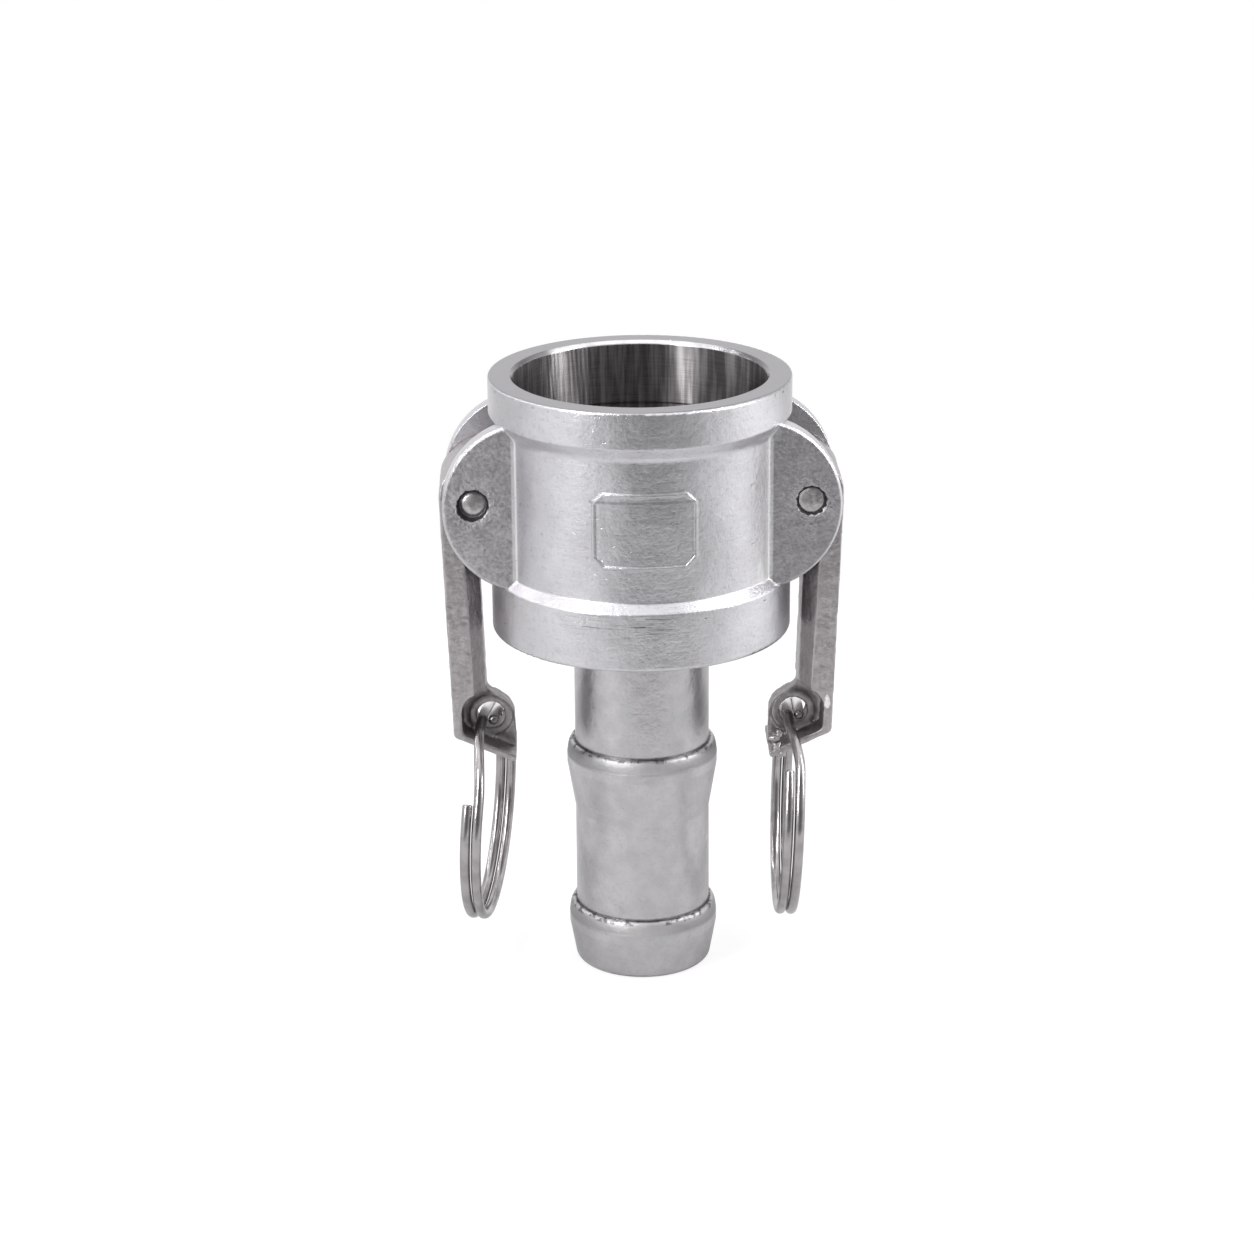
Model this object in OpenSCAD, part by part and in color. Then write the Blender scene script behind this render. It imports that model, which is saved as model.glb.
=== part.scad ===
// Cam and groove coupling, socket by hose tail, standing on its tail.
// Z runs up the flow axis from the tip of the tail, X through the two arms, -Y is the front.

/* [Socket] */
// Bore that takes the grooved adapter
socket_d = 32.5; // [30:0.1:36]
// Depth from the mouth to the top of the gasket
socket_depth = 26; // [24:0.5:32]
// Chamfer at the mouth of the bore
lead_in = 0.45; // [0.2:0.05:1]
// Machined land below the chamfer, down to the clearance behind it
mouth_land = 7.9; // [6:0.1:8.2]
// Clearance of the bore behind its lands, on the radius
bore_relief = 0.2; // [0.18:0.01:0.4]
// Lower land, just above the gasket
lower_land = 3.2; // [2:0.1:3.4]

/* [Gasket] */
// How far the gasket reaches beyond the bore, on the radius
gasket_lap = 1.2; // [0.8:0.05:1.8]
// Width of the gasket, on the radius
gasket_w = 6.35; // [4.5:0.05:8]
// Thickness of the gasket
gasket_t = 5.5; // [4:0.1:7]
// Radial room between the gasket and its groove
gasket_side_gap = 0.15; // [0.05:0.05:0.3]
// Room above the gasket in its groove
gasket_top_gap = 0.1; // [0.05:0.05:0.3]

/* [Body] */
// Height from the tip of the tail to the mouth
body_h = 81; // [78:0.5:100]
// Wall round the bore between the collars
body_wall = 2.05; // [1.7:0.05:2.8]
// Wall round the bore at the mouth collar
mouth_wall = 3.25; // [2.9:0.05:4.5]
// Height of the mouth collar
mouth_collar_h = 4.7; // [3.5:0.1:5]
// Height of the hollow curve under the mouth collar
collar_flare_h = 1.7; // [1.3:0.1:2]
// Wall of the lower collar round the gasket's groove
lower_wall = 1.85; // [1.5:0.05:2.6]
// Height of the lower collar below its sloped shoulder
lower_collar_h = 7.6; // [6:0.1:8.5]
// Rounding of the outer edges of both collars
collar_edge = 0.5; // [0.2:0.1:0.8]
// Thickness of the floor under the gasket
floor_t = 2.3; // [1.6:0.1:3]
// Straight edge of the opening under the gasket, above the funnel to the tail
seat_lip = 0.3; // [0.2:0.1:0.8]
// Height of the cone that joins the floor to the tail
neck_h = 2.9; // [2:0.1:4]
// How much wider than the tail that cone is at the floor, on the radius
neck_flare = 3.63; // [2.6:0.01:6]

/* [Hose tail] */
// Bore through the tail
flow_d = 14; // [10:0.1:14.4]
// Wall of the tail between its barbs
tail_wall = 1.87; // [1.6:0.01:2.4]
// How far the upper barb's crest stands out of the tail
upper_barb_rise = 1.07; // [0.6:0.01:1.5]
// How far the lower barb's crest stands out of the tail
lower_barb_rise = 0.98; // [0.6:0.01:1.5]
// Height of the upper barb's shoulder above the tip, at its crest
upper_barb_z = 29.6; // [26:0.1:34]
// Height of the lower barb's shoulder above the tip, at its crest
lower_barb_z = 6.7; // [5:0.1:12]
// Cylindrical crest of each barb
barb_land = 1.5; // [1.4:0.1:2.5]
// Length of the cone below the upper crest
barb_cone = 6.4; // [4:0.1:9]
// Fall of each barb's shoulder from the tail to its crest
barb_fall = 1.6; // [1:0.1:2]
// Rounding of the shoulder's outer edge
barb_edge = 1; // [0.4:0.1:1.2]
// Hollow curve above each shoulder
barb_fillet = 0.3; // [0.2:0.1:0.8]
// Wall of the tail at its tip, before the rounding
tip_wall = 2.1; // [1.9:0.01:2.6]
// Rounding of the tip
tip_round = 0.9; // [0.4:0.1:1.1]

/* [Ears] */
// Radius of each round ear
ear_r = 11.3; // [10.8:0.1:11.6]
// Distance of the ear's centre from the pin, towards the flow axis
ear_in = 7.3; // [6.8:0.1:7.6]
// Distance of the ear's centre below the pin
ear_low = 0.6; // [0:0.1:1]
// Thickness of each ear
ear_t = 2.9; // [2.2:0.1:4]
// Gap between the two ears of a pair
slot_w = 11.6; // [10:0.1:13]
// Bevel round the outer face of each ear
ear_bevel = 0.35; // [0.1:0.05:0.6]
// Distance of the pivot pin outside the bore
pin_out = 5.25; // [5:0.05:6]
// Distance of the pivot pin below the mouth
pin_drop = 14.8; // [14.4:0.1:15.4]
// Clearance round the swinging cam where it passes the wall
window_gap = 0.5; // [0.3:0.05:0.8]

/* [Pivot pins] */
// Diameter of the pivot pins
pin_d = 3.4; // [2.6:0.1:4.4]
// How far each end lies below the ear's face
pin_recess = 0.2; // [0:0.05:0.4]
// Bevel at the ends of the pin
pin_bevel = 0.3; // [0.1:0.05:0.5]
// Bevel of the pin's hole at the ear's face
hole_bevel = 0.35; // [0.1:0.05:0.6]

/* [Cam arms] */
// Room between the arm and each ear
arm_side_gap = 0.3; // [0.2:0.05:0.5]
// Radial room of the arm on its pin
pivot_gap = 0.05; // [0.02:0.01:0.09]
// Radius of the cam
cam_r = 5.6; // [5.3:0.1:5.8]
// Distance of the cam's centre from the pin
cam_throw = 1.4; // [1.1:0.1:1.5]
// Direction of the cam's nose, below the line to the flow axis
cam_dip = 12; // [0:1:30]
// Distance from the pin to the outer face of the bar
bar_out = 4.5; // [4.4:0.1:5]
// Thickness of the bar
bar_t = 4.65; // [4.2:0.05:4.9]
// Lean of the hanging arm towards the tail
bar_lean = 2.1; // [1:0.1:2.5]
// Bevel along the inner edges of the bar, seen from the front
bar_bevel = 1.8; // [0.8:0.1:2.2]
// Depth of that bevel across the bar
bar_bevel_w = 2.8; // [1:0.1:3.4]
// How much narrower the arm is at its lower end
arm_taper = 1; // [0.2:0.1:2]
// Distance from the pin to the lower outer corner
arm_len = 32.8; // [31:0.1:40]
// How far the web at the end of the arm stands inwards of the bar
web_step = 3.5; // [3.2:0.05:3.7]
// Height of the web's inner edge
web_h = 6.8; // [6.5:0.1:7.4]
// Rounding of the web's upper inner corner
web_round = 3; // [1.6:0.1:3.2]
// Hollow curve where the bar runs into the web
web_hollow = 1; // [0.6:0.1:1]
// Thickness of the web
web_t = 2.4; // [1.6:0.1:3]
// Thickness of the flange under the web
foot_t = 1; // [0.8:0.1:1.4]
// How much lower the flange's inner corner is than its outer one
foot_fall = 4.1; // [2:0.1:4.5]
// Thickness of the bar that is left outside the web
rim_t = 1.3; // [1:0.1:2]
// Rounding where that rim meets the bar
rim_round = 3; // [1:0.1:3.2]

/* [Ring holes] */
// Room for the two turns of the ring in their hole
ring_hole_room = 0.8; // [0.6:0.01:0.9]
// Distance of the hole above the outer lower corner of the arm
ring_hole_up = 1.7; // [1.5:0.05:1.9]
// Distance of the hole from the web's inner edge
ring_hole_in = 3.2; // [3:0.05:3.4]
// How far the boss round the hole stands out of the web, on each side
boss_rise = 0.5; // [0:0.05:0.6]
// Radius of that boss
boss_r = 2.9; // [2.4:0.1:3]
// Distance from the hole up to the end of the full bar
bar_end_up = 4.3; // [4.3:0.1:5]

/* [Pull rings] */
// Radius of the ring at the middle of its wire
ring_r = 14; // [13:0.1:17]
// Diameter of the wire
ring_wire_d = 1.34; // [1.1:0.02:1.36]
// Gap between the turns
coil_gap = 0.09; // [0.04:0.01:0.12]
// How far past the top of its second turn the wire ends, in degrees
ring_end = 13; // [0:1:20]
// Turn of the left ring about the vertical
left_ring_turn = 9; // [0:1:10]
// Turn of the right ring about the vertical
right_ring_turn = 1; // [0:1:6]
// Outward lean of the left ring from its hole down
left_ring_lean = 2.6; // [0:0.1:3]
// Inward lean of the right ring from its hole down
right_ring_lean = 2.1; // [0:0.1:3]
// Where the left ring's wire starts, from the top towards the front
left_ring_start = 66; // [40:1:75]
// Where the right ring's wire starts, from the top towards the front
right_ring_start = 50; // [40:1:75]

/* [Panel] */
// Width of the raised outline on the front
panel_w = 13.2; // [8:0.1:15]
// Height of the raised outline
panel_h = 9.9; // [6:0.1:12]
// Height of its lower edge above the shoulder of the lower collar
panel_up = 4.4; // [2:0.1:6]
// Width of the raised line
panel_line = 0.4; // [0.2:0.05:1]
// Height of the raised line above the body
panel_raise = 0.18; // [0.1:0.02:0.4]
// Clipped corners of the outline
panel_clip = 1.3; // [0.5:0.1:2.5]

/* [Hidden] */
$fn = 72;
cut = 1; // how far a cutter runs past what it cuts
arc_over = 0.002; // how far a corner arc passes the edges it joins, so each meets it at one clear point

// heights on the body
gasket_z = body_h - socket_depth - gasket_t;
groove_top_z = body_h - socket_depth + gasket_top_gap;
collar_z = gasket_z - floor_t;
shoulder_z = collar_z + lower_collar_h;
flare_z = body_h - mouth_collar_h - collar_flare_h;
pin_z = body_h - pin_drop;
ear_z = pin_z - ear_low;

// radii on the body
socket_r = socket_d / 2;
flow_r = flow_d / 2;
gasket_r = socket_r + gasket_lap;
gasket_hole_r = gasket_r - gasket_w;
groove_r = gasket_r + gasket_side_gap;
body_r = socket_r + body_wall;
mouth_r = socket_r + mouth_wall;
collar_r = groove_r + lower_wall;
shank_r = flow_r + tail_wall;
neck_r = shank_r + neck_flare;
upper_barb_r = shank_r + upper_barb_rise;
lower_barb_r = shank_r + lower_barb_rise;
tip_r = flow_r + tip_wall;
pin_x = socket_r + pin_out;
ear_x = pin_x - ear_in;
funnel_z = gasket_z - seat_lip - (gasket_hole_r - flow_r);

// small edges of the body
bore_edge = 0.4; // bevel of the flow bore at the tip
tip_draft = 0.2; // how much narrower the tail is at its very end
neck_hollow = 1; // curve where the tail runs into the neck
neck_edge = 0.6; // curve where the neck runs into the lower collar
flare_edge = 0.2; // rounding where the flare meets the mouth collar

// the arm, about its pin
web_slope = 0.73; // rise of the web's upper edge towards the bar, for each mm along it
arm_w = slot_w - 2 * arm_side_gap;
arm_end_w = arm_w - arm_taper;
ear_face = slot_w / 2 + ear_t;
nose_r = cam_r + cam_throw;
bar_in = bar_out - bar_t;
web_in = bar_in - web_step;
foot_z = -arm_len - foot_fall;
foot_slope = foot_fall / (bar_out - web_in);
web_rise = web_step * web_slope; // how much higher the web is at the bar
ring_pitch = ring_wire_d + coil_gap;
ring_hole_d = ring_wire_d + ring_pitch + ring_hole_room;
boss_t = web_t + 2 * boss_rise;
hole_at = [web_in + ring_hole_in, -arm_len + ring_hole_up];
hole_x = pin_x + hole_at[0] * cos(bar_lean) + hole_at[1] * sin(bar_lean);
hole_z = pin_z - hole_at[0] * sin(bar_lean) + hole_at[1] * cos(bar_lean);

// A corner [x, y, r] of an outline gives [start, end, centre, bulges outwards] of its arc.
function unit(v) = v / norm(v);
function xy(p) = [p[0], p[1]];
function arc_of(p, i) =
    let (n = len(p), a = xy(p[(i + n - 1) % n]), b = xy(p[i]), c = xy(p[(i + 1) % n]),
         u = unit(a - b), v = unit(c - b), half = acos(u * v) / 2, run = p[i][2] / tan(half))
    [b + u * run, b + v * run, b + unit(u + v) * p[i][2] / sin(half), cross(b - a, c - b) > 0];

// An outline with true arcs at its corners, listed anticlockwise as [x, y, radius].
module outline(p) {
    arcs = [for (i = [0 : len(p) - 1]) if (p[i][2] > 0) concat(arc_of(p, i), [p[i][2]])];
    difference() {
        union() {
            polygon([for (i = [0 : len(p) - 1]) each
                p[i][2] > 0 ? [arc_of(p, i)[0], arc_of(p, i)[1]] : [xy(p[i])]]);
            for (a = arcs) if (a[3]) translate(a[2]) circle(a[4] + arc_over);
        }
        for (a = arcs) if (!a[3]) translate(a[2]) circle(a[4] + arc_over);
    }
}

module along_y(length) rotate([90, 0, 0]) linear_extrude(length, center = true) children();

module at_pin(side) translate([side * pin_x, 0, pin_z]) children();

// the solid of revolution that the body is turned from
module body_outside() {
    rotate_extrude($fn = 120) outline([
        [flow_r - cut, 0, 0],
        [tip_r - tip_draft, 0, tip_round],
        [lower_barb_r, lower_barb_z - barb_land, 0],
        [lower_barb_r, lower_barb_z, barb_edge],
        [shank_r, lower_barb_z + barb_fall, barb_fillet],
        [shank_r, upper_barb_z - barb_land - barb_cone, 0],
        [upper_barb_r, upper_barb_z - barb_land, 0],
        [upper_barb_r, upper_barb_z, barb_edge],
        [shank_r, upper_barb_z + barb_fall, barb_fillet],
        [shank_r, collar_z - neck_h, neck_hollow],
        [neck_r, collar_z, neck_edge],
        [collar_r, collar_z, collar_edge],
        [collar_r, shoulder_z, 0],
        [body_r, shoulder_z + collar_r - body_r, 0],
        [body_r, flare_z, collar_flare_h * 0.7],
        [mouth_r, flare_z + collar_flare_h, flare_edge],
        [mouth_r, body_h, collar_edge * 0.6],
        [flow_r - cut, body_h, 0]]);
}

// one ear, a round plate with a bevelled outer edge
module ear() {
    translate([ear_x, -ear_face, ear_z]) rotate([-90, 0, 0]) rotate_extrude($fn = 120)
        polygon([[0, 0], [ear_r - ear_bevel, 0], [ear_r, ear_bevel], [ear_r, ear_t], [0, ear_t]]);
}

module each_ear() for (x = [0, 1], y = [0, 1]) mirror([x, 0, 0]) mirror([0, y, 0]) children();

// everything that is turned out of the inside
module body_inside() {
    rotate_extrude($fn = 120) polygon([
        [0, -cut],
        [flow_r + bore_edge + cut, -cut],
        [flow_r, bore_edge],
        [flow_r, funnel_z],
        [gasket_hole_r, gasket_z - seat_lip],
        [gasket_hole_r, gasket_z],
        [groove_r, gasket_z],
        [groove_r, groove_top_z],
        [socket_r, groove_top_z],
        [socket_r, groove_top_z + lower_land],
        [socket_r + bore_relief, groove_top_z + lower_land + bore_relief],
        [socket_r + bore_relief, body_h - lead_in - mouth_land - bore_relief],
        [socket_r, body_h - lead_in - mouth_land],
        [socket_r, body_h - lead_in],
        [socket_r + lead_in + cut, body_h + cut],
        [0, body_h + cut]]);
}

// the opening in the wall that the cam swings through
module cam_window() along_y(slot_w) circle(nose_r + window_gap);

// the hole for the pin through both ears, bevelled at each face
module pin_hole() {
    rotate([90, 0, 0]) cylinder(d = pin_d, h = 2 * ear_face + 2 * cut, center = true);
    for (s = [0, 180]) rotate([0, 0, s]) translate([0, -ear_face - cut, 0]) rotate([-90, 0, 0])
        cylinder(r1 = pin_d / 2 + hole_bevel + cut, r2 = pin_d / 2, h = hole_bevel + cut);
}

// the raised outline on the front, following the round of the body
module panel() {
    low = shoulder_z + collar_r - body_r + panel_up;
    intersection() {
        difference() {
            translate([0, 0, low - cut]) cylinder(r = body_r + panel_raise, h = panel_h + 2 * cut, $fn = 120);
            translate([0, 0, low - 2 * cut]) cylinder(r = body_r - 0.3, h = panel_h + 4 * cut, $fn = 120);
        }
        translate([0, -body_r, low]) rotate([90, 0, 0]) linear_extrude(body_r, center = true)
            difference() {
                panel_outline(0);
                panel_outline(panel_line);
            }
    }
}

module panel_outline(inset) {
    w = panel_w / 2 - inset;
    c = panel_clip - inset * 0.6;
    polygon([[-w + c, inset], [w - c, inset], [w, inset + c], [w, panel_h - inset - c],
        [w - c, panel_h - inset], [-w + c, panel_h - inset], [-w, panel_h - inset - c],
        [-w, inset + c]]);
}

module coupler_body() {
    color("#c9c9cc") difference() {
        union() {
            body_outside();
            each_ear() ear();
            panel();
        }
        body_inside();
        for (side = [-1, 1]) at_pin(side) {
            cam_window();
            pin_hole();
        }
    }
}

module gasket() {
    color("#2b2a2a") translate([0, 0, gasket_z]) rotate_extrude($fn = 120)
        translate([gasket_hole_r, 0]) square([gasket_w, gasket_t]);
}

// the pin, bevelled at both ends
module pivot_pin(side) {
    half = ear_face - pin_recess;
    r = pin_d / 2;
    color("#b4b2b2") at_pin(side) rotate([90, 0, 0]) rotate_extrude()
        polygon([[0, -half], [r - pin_bevel, -half], [r, pin_bevel - half],
            [r, half - pin_bevel], [r - pin_bevel, half], [0, half]]);
}

// the arm seen from the front, about its pin, with the bar upright and outwards to the right
module arm_front() {
    circle(bar_out);
    rotate(180 + cam_dip) translate([cam_throw, 0]) circle(cam_r);
    outline([
        [bar_out, -arm_len, 0.8],
        [bar_out, 0, 0],
        [bar_in, 0, 0],
        [bar_in, foot_z + web_h + web_rise, web_hollow],
        [web_in, foot_z + web_h, web_round],
        [web_in, foot_z, 0.5]]);
}

// the arm seen from outside, narrowing from the cam to its lower end
module arm_side() {
    polygon([[-arm_w / 2, nose_r + cut], [-arm_w / 2, -ear_r], [-arm_end_w / 2, foot_z - cut],
        [arm_end_w / 2, foot_z - cut], [arm_w / 2, -ear_r], [arm_w / 2, nose_r + cut]]);
}

// the bevel along one inner edge of the bar, from the cam down to the web
module bar_edge_cut() {
    top = -nose_r;
    low = hole_at[1] + bar_end_up - cut;
    e = 0.5;
    translate([bar_in, -arm_w / 2, low]) linear_extrude(top - low)
        polygon([[-e * 3, -e], [bar_bevel + e * bar_bevel / bar_bevel_w, -e], [0, bar_bevel_w],
            [-e * 3, bar_bevel_w]]);
}

// what is cut away on each side of the web, seen from the front
module beside_web() {
    in = web_in - cut;
    out = bar_out - rim_t;
    low = foot_z + foot_t / cos(atan(foot_slope));
    top = hole_at[1] + bar_end_up;
    outline([
        [in, low - foot_slope * cut, 0],
        [out, low + foot_slope * (out - web_in), 0.9],
        [out, top, rim_round],
        [in, top, 0]]);
}

module cam_arm() {
    difference() {
        intersection() {
            along_y(arm_w + cut) arm_front();
            rotate([90, 0, 90]) linear_extrude(4 * nose_r, center = true) arm_side();
        }
        along_y(arm_w + cut) circle(pin_d / 2 + pivot_gap);
        translate([hole_at[0], 0, hole_at[1]]) along_y(arm_w) circle(d = ring_hole_d);
        for (m = [0, 1]) mirror([0, m, 0]) {
            bar_edge_cut();
            difference() {
                translate([0, -arm_w / 2 - web_t / 2, 0]) along_y(arm_w) beside_web();
                translate([hole_at[0], 0, hole_at[1]]) along_y(boss_t) circle(boss_r);
            }
        }
    }
}

module right_cam_arm() color("#aaa6a6") at_pin(1) rotate([0, bar_lean, 0]) cam_arm();

module left_cam_arm() color("#aaa6a6") at_pin(-1) rotate([0, 0, 180]) rotate([0, bar_lean, 0]) cam_arm();

// Where the wire of a split ring lies across it, at an angle along the wire: in one layer for the
// first turn, then past the blunt start of that turn into the other layer.
function layer_x(a, start) =
    let (t = min(max((a - 360 - ring_end) / (start - ring_end), 0), 1))
    ring_pitch * (t * t * (3 - 2 * t) - 0.5);

// A split ring of nearly two turns of wire, its top side by side in the ring hole.
// Angles run from the top towards the front, and the lean is to the left.
module split_ring(start, turn, lean) {
    sides = 12;
    steps = 80;
    points = [for (i = [0 : steps]) let (a = start + (720 + ring_end - start) * i / steps)
        for (k = [0 : sides - 1]) let (b = 360 * k / sides, r = ring_r + ring_wire_d / 2 * cos(b))
            [layer_x(a, start) + ring_wire_d / 2 * sin(b), -r * sin(a), r * cos(a) - ring_r]];
    walls = [for (i = [0 : steps - 1], k = [0 : sides - 1]) let (j = (k + 1) % sides)
        each [[i * sides + k, i * sides + j, (i + 1) * sides + j],
              [i * sides + k, (i + 1) * sides + j, (i + 1) * sides + k]]];
    ends = [[for (k = [sides - 1 : -1 : 0]) k], [for (k = [0 : sides - 1]) steps * sides + k]];
    rotate([0, lean, turn]) polyhedron(points, concat(walls, ends));
}

module left_pull_ring()
    color("#d6d6d8") translate([-hole_x, 0, hole_z])
        split_ring(left_ring_start, -left_ring_turn, left_ring_lean);

module right_pull_ring()
    color("#d6d6d8") translate([hole_x, 0, hole_z])
        split_ring(right_ring_start, -right_ring_turn, right_ring_lean);

module left_pivot_pin() pivot_pin(-1);

module right_pivot_pin() pivot_pin(1);

coupler_body();
gasket();
left_cam_arm();
right_cam_arm();
left_pivot_pin();
right_pivot_pin();
left_pull_ring();
right_pull_ring();
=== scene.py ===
# %% [markdown]
# # A cam and groove coupling in cast stainless steel
#
# The real coupling is a hose fitting. A hose is pushed over the barbed tail, and a grooved adapter
# goes into the socket at the top, where the noses of two swinging arms press it onto a rubber
# gasket. The body and the arms are investment castings that were blasted to a satin grey, the mouth
# and the bore are turned bright on a lathe, and the two pull rings are polished spring wire.
#
# The solids come from a CAD frame and keep their shape. Blender could model all of it again, but
# then the solids and the picture would drift apart. So this lesson keeps every solid that has the
# right form, gives it a finish, and builds a new piece only where a solid can't carry what the eye
# looks for, such as smooth wire.

# %% Open the frame
import math
from types import SimpleNamespace

import bpy
import bmesh
from mathutils import Matrix, Quaternion, Vector, noise


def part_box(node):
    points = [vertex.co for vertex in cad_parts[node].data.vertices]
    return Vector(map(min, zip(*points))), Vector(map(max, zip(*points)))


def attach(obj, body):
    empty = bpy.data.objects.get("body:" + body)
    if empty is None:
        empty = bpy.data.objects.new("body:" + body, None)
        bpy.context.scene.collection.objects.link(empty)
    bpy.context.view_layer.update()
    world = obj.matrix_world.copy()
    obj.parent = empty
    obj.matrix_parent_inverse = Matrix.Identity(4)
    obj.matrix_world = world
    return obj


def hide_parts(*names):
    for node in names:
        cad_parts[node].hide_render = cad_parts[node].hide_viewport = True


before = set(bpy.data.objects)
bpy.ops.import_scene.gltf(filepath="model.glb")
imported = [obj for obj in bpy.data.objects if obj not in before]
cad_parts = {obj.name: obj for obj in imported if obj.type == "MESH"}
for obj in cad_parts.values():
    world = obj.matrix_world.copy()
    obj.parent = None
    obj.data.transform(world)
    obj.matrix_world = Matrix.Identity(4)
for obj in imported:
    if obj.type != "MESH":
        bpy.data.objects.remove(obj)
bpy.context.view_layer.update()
MM = 0.001
print("solids:", sorted(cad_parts))


def add_to_scene(name, data):
    """An object of the scene that shows a mesh, a lamp or a camera."""
    thing = bpy.data.objects.new(name, data)
    bpy.context.scene.collection.objects.link(thing)
    return thing


# %% [markdown]
# ## The camera
#
# A camera could be turned by eye until the picture looks right. Here it was solved instead: the
# height and place of the mouth, the pins and the tail in the photograph give one spot 43 cm in
# front of the coupling, 15 degrees above its mouth. The camera is aimed at a point on the coupling
# and then rolled a little, as a hand-held one is.

# %% Place the camera
CAMERA_AT = Vector((-11.67, -417.91, 193.04)) * MM
AIM_AT = Vector((-1.87982721, 0.0, 46.55802183)) * MM
LENS = 96.97254545
FILM_WIDTH = 36.0
ROLL = -0.00763692996
MOUTH_Z = 81.0  # the top face of the mouth, in millimetres above the foot of the tail


def place_camera():
    data = bpy.data.cameras.new("photo_camera")
    data.lens, data.sensor_width = LENS, FILM_WIDTH
    data.clip_start, data.clip_end = 0.01, 20.0
    camera = add_to_scene("photo_camera", data)
    camera.location = CAMERA_AT
    camera.rotation_mode = "QUATERNION"
    level = (AIM_AT - CAMERA_AT).to_track_quat("-Z", "Y")
    camera.rotation_quaternion = level @ Quaternion((0, 0, 1), ROLL)
    bpy.context.scene.camera = camera


place_camera()
print("camera is %.0f mm from the mouth" % (CAMERA_AT / MM - Vector((0, 0, MOUTH_Z))).length)

# %% [markdown]
# ## Shaders as arithmetic
#
# A finish is mostly sums: a height is grain plus waves minus pits, and a mask is one product of
# soft steps. In the node editor each plus sign is a node to wire by hand. The two small classes
# below save that work. The first wraps an output socket, so that Python writes the node when it
# meets +, -, * or / between values. The second adds any other node in one call.


# %% Wrap sockets so that Python can calculate with them
class Value:
    """One output socket of a node tree."""

    def __init__(self, graph, socket):
        self.graph, self.socket = graph, socket

    def math(self, operation, *others):
        sockets = dict(enumerate((self, *others)))
        return self.graph.add("ShaderNodeMath", {"operation": operation}, sockets)

    def __add__(self, other):
        return self.math("ADD", other)

    def __mul__(self, other):
        return self.math("MULTIPLY", other)

    def __sub__(self, other):
        return self.math("SUBTRACT", other)

    def __truediv__(self, other):
        return self.math("DIVIDE", other)

    def __rsub__(self, other):
        return self.graph.number(other, "SUBTRACT", self)

    def __pow__(self, other):
        return self.math("POWER", other)

    __radd__, __rmul__ = __add__, __mul__

    def size(self):
        return self.math("ABSOLUTE")

    def larger(self, other):
        return self.math("MAXIMUM", other)

    def smaller(self, other):
        return self.math("MINIMUM", other)

    def step(self, start, end):
        """Rises softly from 0 at start to 1 at end, or falls where end is the smaller."""
        if start > end:
            return 1 - self.step(end, start)
        soft = {"interpolation_type": "SMOOTHSTEP"}
        return self.graph.add("ShaderNodeMapRange", soft, {"Value": self, 1: start, 2: end})

    def between(self, low, high, soft):
        """1 from low to high and 0 beyond, with edges that reach softly to both sides."""
        return self.step(low - soft, low + soft) * self.step(high + soft, high - soft)


print("values can be added and multiplied")


# %% Fill a node tree by calls
def colour(tone):
    """A colour for a socket, from a number for a grey, three numbers or a value."""
    if isinstance(tone, Value):
        return tone
    return (tone, tone, tone, 1.0) if isinstance(tone, float) else (*tone, 1.0)


class Graph:
    """A node tree of a material or of the world."""

    OBJECT_SPACE = 3  # the output of a Texture Coordinate node that moves with the piece

    def __init__(self, tree):
        self.tree = tree
        tree.nodes.clear()

    def add(self, kind, settings=None, sockets=None, out=0):
        """A node of any type, with its settings first and then its values and links."""
        node = self.tree.nodes.new(kind)
        for name, value in (settings or {}).items():
            if name == "stops":
                self.fill_ramp(node.color_ramp, value)
            else:
                setattr(node, name, value)
        for name, value in (sockets or {}).items():
            if isinstance(value, Value):
                self.tree.links.new(value.socket, node.inputs[name])
            else:
                node.inputs[name].default_value = value
        return Value(self, node.outputs[out]) if node.outputs else None

    def fill_ramp(self, ramp, stops):
        while len(ramp.elements) < len(stops):
            ramp.elements.new(0.5)
        for element, (position, tone) in zip(ramp.elements, stops):
            element.position, element.color = position, colour(tone)

    def number(self, first, operation, second):
        return self.add("ShaderNodeMath", {"operation": operation}, {0: first, 1: second})

    def split(self, vector):
        node = self.tree.nodes.new("ShaderNodeSeparateXYZ")
        self.tree.links.new(vector.socket, node.inputs[0])
        return [Value(self, node.outputs[i]) for i in range(3)]

    def join(self, x, y, z):
        return self.add("ShaderNodeCombineXYZ", sockets={0: x, 1: y, 2: z})

    def place(self):
        """The place on the piece, in millimetres."""
        spot = self.add("ShaderNodeTexCoord", out=self.OBJECT_SPACE)
        scaled = {0: spot, "Scale": 1 / MM}
        return self.add("ShaderNodeVectorMath", {"operation": "SCALE"}, scaled)

    def noise(self, at, scale, detail=2.0, rough=0.5):
        """A soft random value about 0, from -0.5 to 0.5."""
        sockets = {"Vector": at, "Scale": scale, "Detail": detail, "Roughness": rough}
        return self.add("ShaderNodeTexNoise", sockets=sockets) - 0.5

    def mix(self, factor, first, second):
        """A blend of two colours."""
        sockets = {0: factor, 6: colour(first), 7: colour(second)}
        return self.add("ShaderNodeMix", {"data_type": "RGBA"}, sockets, out=2)

    def bump(self, height, **more):
        """The tilt that a height in millimetres gives the surface."""
        sockets = {"Height": height, "Strength": 1.0, "Distance": MM, **more}
        return self.add("ShaderNodeBump", sockets=sockets)

    def steel(self, tone, rough, normal, **more):
        """A Principled shader for bare metal. Sockets that more names are set after these."""
        sockets = {"Base Color": tone, "Metallic": 1.0, "Roughness": rough, "Normal": normal}
        return self.add("ShaderNodeBsdfPrincipled", sockets={**sockets, **more})

    def finish(self, shader):
        self.add("ShaderNodeOutputMaterial", sockets={"Surface": shader})
        print(len(self.tree.nodes), "nodes in this finish")


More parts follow.
